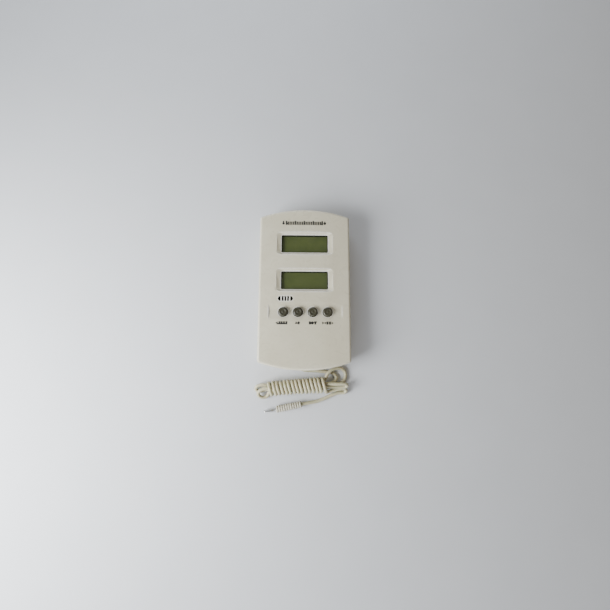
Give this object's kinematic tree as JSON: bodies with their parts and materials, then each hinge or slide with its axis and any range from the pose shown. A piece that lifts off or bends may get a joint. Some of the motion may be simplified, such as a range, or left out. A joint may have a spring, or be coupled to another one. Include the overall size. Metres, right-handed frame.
{
  "type": "darkroom thermometer",
  "caption": "Slim wall or table digital thermometer with two blank displays, four keys, folding stand and a remote probe on a tied lead.",
  "frame": {"origin": "centre of the case's footprint on the plane of its back", "axes": "+Z out of the display, +Y towards the upper display, +X to the right of the display"},
  "size_m": [0.0623, 0.1359, 0.0172],
  "materials": {
    "cover": "glossy moulded ABS, warm white",
    "window": "clear acrylic pane",
    "lcd": "grey-green reflective liquid crystal cell",
    "zebra": "layered conductive rubber",
    "board": "glass-fibre board with solder mask",
    "resin": "black potting resin",
    "can": "plated can",
    "resistor": "lacquered film resistor",
    "capacitor": "dipped ceramic disc",
    "ceramic_plate": "printed ceramic comb",
    "keys": "moulded silicone rubber, dark grey",
    "carbon": "carbon-filled rubber",
    "steel": "nickel plated steel",
    "probe_steel": "polished stainless tube",
    "cell_wrap": "plain printed wrap with steel ends",
    "wire": "insulated hook-up wire",
    "lead": "soft white PVC",
    "sleeve": "ribbed soft white PVC"
  },
  "bodies": {
    "case": {"front_cover": "cover", "rear_cover": "cover", "window_upper": "window", "window_lower": "window", "lcd_upper": "lcd", "lcd_lower": "lcd", "zebra_upper": "zebra", "zebra_lower": "zebra", "circuit_board": "board", "chip_blob": "resin", "crystal": "can", "resistors": "resistor", "capacitors": "capacitor", "humidity_sensor": "ceramic_plate", "room_thermistor": "resin", "keypad_sheet": "keys", "case_screws": "steel", "board_screws": "steel", "battery_cell": "cell_wrap", "battery_spring": "steel", "battery_plate": "steel", "battery_contact": "steel", "battery_wires": "wire", "sensor_wires": "wire", "lead_grommet": "lead", "lead_out": "lead", "lead_loop_right": "lead", "lead_fold_right": "lead", "lead_tail": "lead", "lead_loop_left_a": "lead", "lead_loop_left_b": "lead", "lead_hank": "lead", "probe_sleeve": "sleeve", "probe_tip": "probe_steel", "probe_bead": "resin", "dome_1": "keys", "dome_2": "keys", "dome_3": "keys", "dome_4": "keys"},
    "key_1": {"button_1": "keys", "pill_1": "carbon"},
    "key_2": {"button_2": "keys", "pill_2": "carbon"},
    "key_3": {"button_3": "keys", "pill_3": "carbon"},
    "key_4": {"button_4": "keys", "pill_4": "carbon"},
    "door": {"battery_door": "cover"},
    "stand": {"stand": "cover"}
  },
  "joints": [
    {"name": "key_1_press", "type": "slide", "parent": "case", "child": "key_1", "axis": [0, 0, -1], "range_m": [0, 0.0008], "stiffness_N_per_m": 1200, "deforming": ["dome_1"]},
    {"name": "key_2_press", "type": "slide", "parent": "case", "child": "key_2", "axis": [0, 0, -1], "range_m": [0, 0.0008], "stiffness_N_per_m": 1200, "deforming": ["dome_2"]},
    {"name": "key_3_press", "type": "slide", "parent": "case", "child": "key_3", "axis": [0, 0, -1], "range_m": [0, 0.0008], "stiffness_N_per_m": 1200, "deforming": ["dome_3"]},
    {"name": "key_4_press", "type": "slide", "parent": "case", "child": "key_4", "axis": [0, 0, -1], "range_m": [0, 0.0008], "stiffness_N_per_m": 1200, "deforming": ["dome_4"]},
    {"name": "door_hinge", "type": "hinge", "parent": "case", "child": "door", "pos_m": [0, -0.0299, 0.0007], "axis": [1, 0, 0], "range_deg": [0, 70]},
    {"name": "stand_hinge", "type": "hinge", "parent": "case", "child": "stand", "pos_m": [0, 0.033, 0.0015], "axis": [1, 0, 0], "range_deg": [0, 60]}
  ]
}
